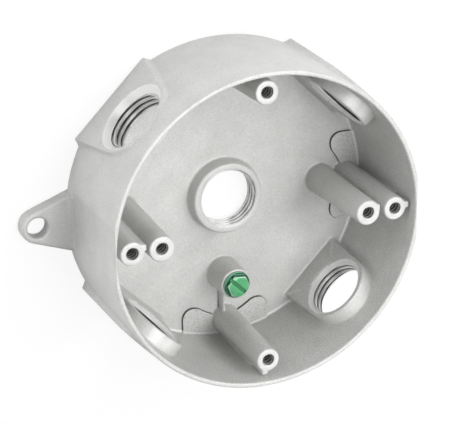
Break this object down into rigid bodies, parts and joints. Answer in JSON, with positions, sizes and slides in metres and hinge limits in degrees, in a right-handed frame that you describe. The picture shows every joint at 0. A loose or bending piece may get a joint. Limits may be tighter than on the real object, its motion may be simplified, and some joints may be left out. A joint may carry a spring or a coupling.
{
  "type": "electrical outlet box",
  "caption": "Round die-cast metal outlet box, open at the front, with threaded side and back outlets, tapped screw posts, side mounting lugs and a green ground screw.",
  "frame": {"origin": "centre of the flat back face, on the box axis", "axes": "+Z along the box axis out of the open front; +X toward the right lug and +Y toward the top post as the picture shows them; the box lies on its back on z = 0"},
  "size_m": [0.1376, 0.106, 0.0408],
  "materials": {
    "casting": "matte light grey as-cast skin with a fine powder speckle",
    "green_screw": "green dyed steel, satin"
  },
  "bodies": {
    "box": {"box_casting": "casting"},
    "screw": {"ground_screw": "green_screw"}
  },
  "joints": [
    {"name": "ground_screw_turn", "type": "hinge", "parent": "box", "child": "screw", "pos_m": [-0.0005, -0.0276, 0.0138], "axis": [0, 0, 1], "range_deg": [0, 1350]}
  ]
}
